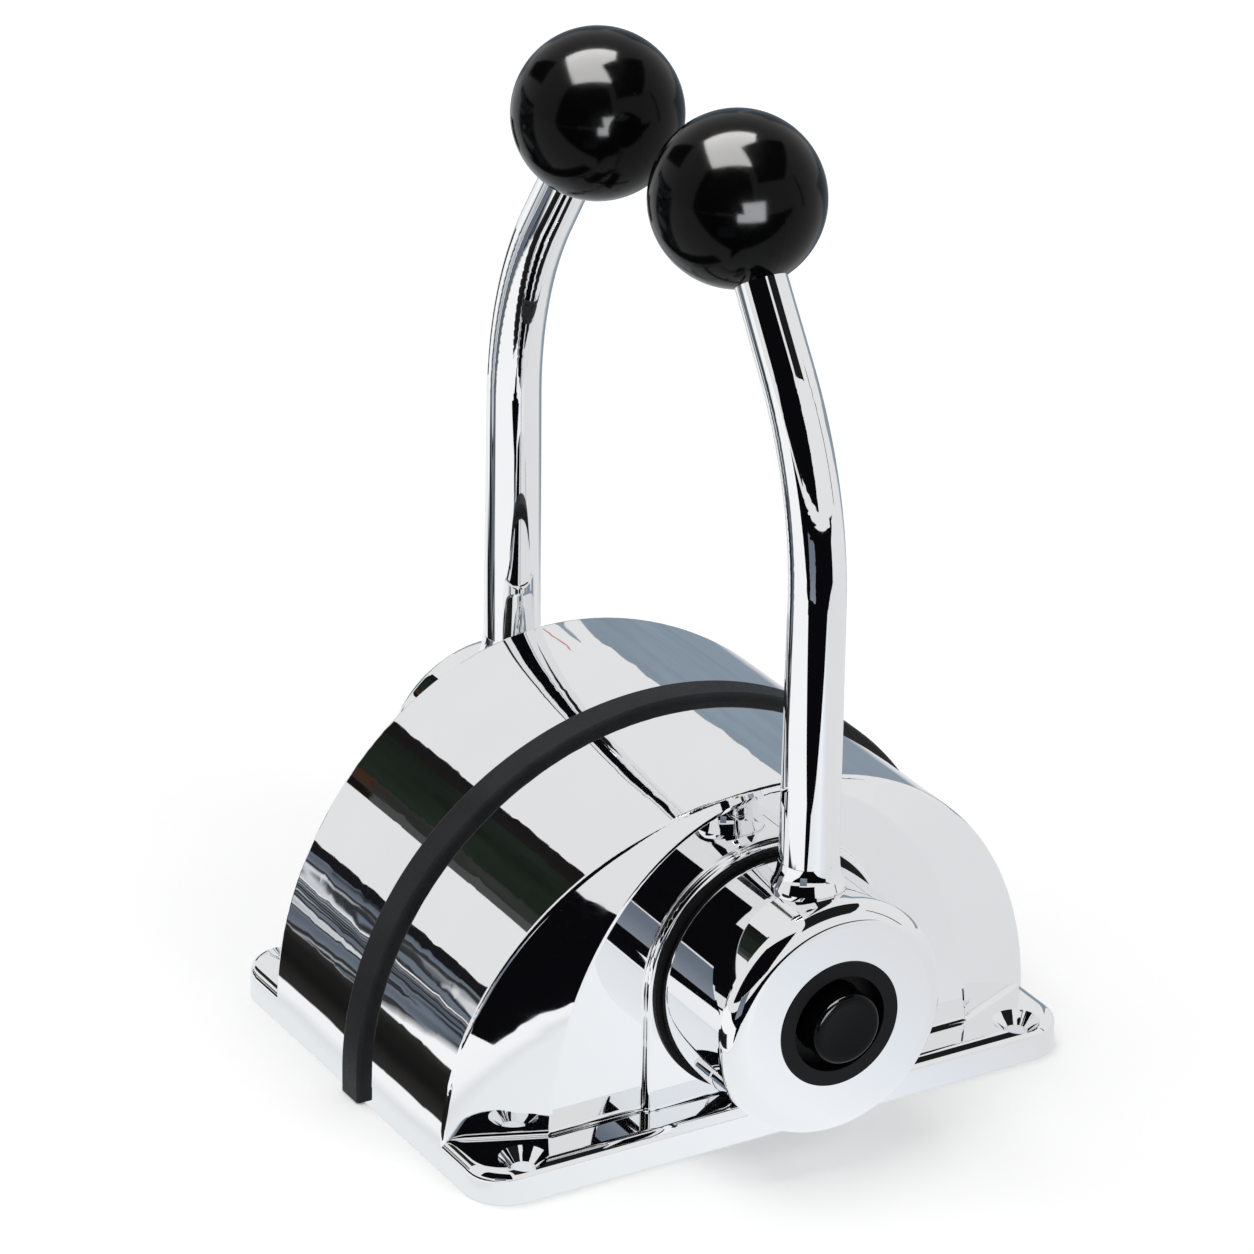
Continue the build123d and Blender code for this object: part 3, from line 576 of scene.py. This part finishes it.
def cove(name, run):
    """Concave cast fillet in a corner, closed at the back and the ends.

    Each point of its run is the corner, the directions of the two walls away from it, and the radius.
    """
    sections = [cove_section(*point) for point in run]
    points = [point for section, _ in sections for point in section]
    normals = [turns for _, turns in sections]
    width = COVE_STEPS + 2
    last = len(points) - width
    faces, bent = [], []
    for start in range(0, last, width):
        for k in range(width):
            after = (k + 1) % width
            faces.append((start + k, start + after, start + width + after, start + width + k))
            bent.append(k < COVE_STEPS)
    faces += [tuple(range(width))[::-1], tuple(range(last, last + width))]
    bent += [False, False]
    if (points[1] - points[0]).cross(points[width] - points[0]).dot(normals[0][0]) < 0:
        faces = [face[::-1] for face in faces]

    mesh = bpy.data.meshes.new(name)
    mesh.from_pydata([tuple(point) for point in points], [], faces)
    mesh.polygons.foreach_set("use_smooth", bent)
    loops = [normals[vertex // width][vertex % width] if smooth else polygon.normal
             for polygon, smooth in zip(mesh.polygons, bent) for vertex in polygon.vertices]
    mesh.normals_split_custom_set([tuple(normal) for normal in loops])
    mesh.materials.append(FINISHES["polished_chrome"])
    piece = bpy.data.objects.new(name, mesh)
    bpy.context.collection.objects.link(piece)
    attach(piece, "control_head")


def base_drop(y):
    """How far the base's rounded edge has dropped at y."""
    past = max(0.0, y - (BASE_HALF_Y - BASE_ROUND))
    return BASE_ROUND - sqrt(BASE_ROUND ** 2 - past ** 2)


def add_foot_cove(side, sx, end, sy):
    """Cast fillet at the foot of the end wall and its bevel, from the collar to the base's edge."""
    run = [((END_X, y), (1, 0), FOOT_COVE_R) for y in WALL_RUN_Y]
    run.append((TURN_PLACE, TURN_OUT, FOOT_COVE_R))
    for y, radius in BEVEL_RUN:
        x = END_X - (y / BEVEL_FOOT - BEVEL_HALF_Y) / BEVEL_GROWTH
        run.append(((x, y), BEVEL_OUT, radius))
    run = [((sx * x, sy * y, BASE_TOP - base_drop(y)), (sx * u, sy * v, 0), UP, radius)
           for (x, y), (u, v), radius in run]
    cove(side + "_foot_cove_" + end, run)


def add_collar_cove(side, sx):
    """Cast fillet where the arch-shaped collar meets the end wall."""
    arch = [(-COLLAR_R, BASE_TOP, -1, 0)]
    for k in range(COLLAR_TURNS + 1):
        a = radians(180 - 180 * k / COLLAR_TURNS)
        arch.append((COLLAR_R * cos(a), SHAFT_Z + COLLAR_R * sin(a), cos(a), sin(a)))
    arch.append((COLLAR_R, BASE_TOP, 1, 0))
    run = [((sx * END_X, y, z), (0, v, w), (sx, 0, 0), COLLAR_COVE_R) for y, z, v, w in arch]
    cove(side + "_collar_cove", run)


def add_collar_foot_cove(side, sx):
    """Cast fillet at the foot of the collar's face, and round the face's upright edges."""
    edge_x, edge_y = COLLAR_FACE_X - COLLAR_EDGE_R, COLLAR_R - COLLAR_EDGE_R
    half = []
    for k in range(EDGE_TURNS + 1):
        a = radians(90 * k / EDGE_TURNS)
        half.append((edge_x + COLLAR_EDGE_R * cos(a), edge_y + COLLAR_EDGE_R * sin(a), cos(a), sin(a)))
    front = [(x, -y, u, -v) for x, y, u, v in half[::-1]] + half
    run = [((sx * x, y, BASE_TOP), (sx * u, v, 0), UP, COLLAR_FOOT_COVE_R) for x, y, u, v in front]
    cove(side + "_collar_foot_cove", run)


def add_button_coil(side):
    """The button's spring as a piece of its own that rides on the lever."""
    node = side + "_button_spring"
    piece = bpy.data.objects.new(side + "_button_coil", frame["nodes"][node].data.copy())
    bpy.context.collection.objects.link(piece)
    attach(piece, side + "_lever")
    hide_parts(node)
    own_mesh(piece)


# Studio
GLOSS_BLACK_PARTS = bpy.data.collections.new("gloss_black_parts")
for subpart in frame["record"]["subparts"]:
    if subpart["material_slot"] == "gloss_black":
        GLOSS_BLACK_PARTS.objects.link(frame["nodes"][subpart["node"]])
add_camera()
add_floor()
add_world()
add_lamp("top_lamp", bearing=-20, elevation=75, distance=1.6, size=1.0, watts=11)
add_lamp("side_lamp", bearing=110, elevation=35, distance=2.0, size=1.0, watts=7)
add_walls()
add_low_wall()
add_window()
add_softbox()
add_wall_strips()

# Finishes
FINISHES = {slot: finish(slot, **look) for slot, look in LOOKS.items()}
dress_nodes()

# The cast fillets that the solids leave out, and the buttons' springs as pieces of their own
for side, sx in (("starboard", 1), ("port", -1)):
    for end, sy in (("bow", 1), ("stern", -1)):
        add_foot_cove(side, sx, end, sy)
    add_collar_cove(side, sx)
    add_collar_foot_cove(side, sx)
    add_button_coil(side)

bpy.context.scene.view_settings.view_transform = "Standard"
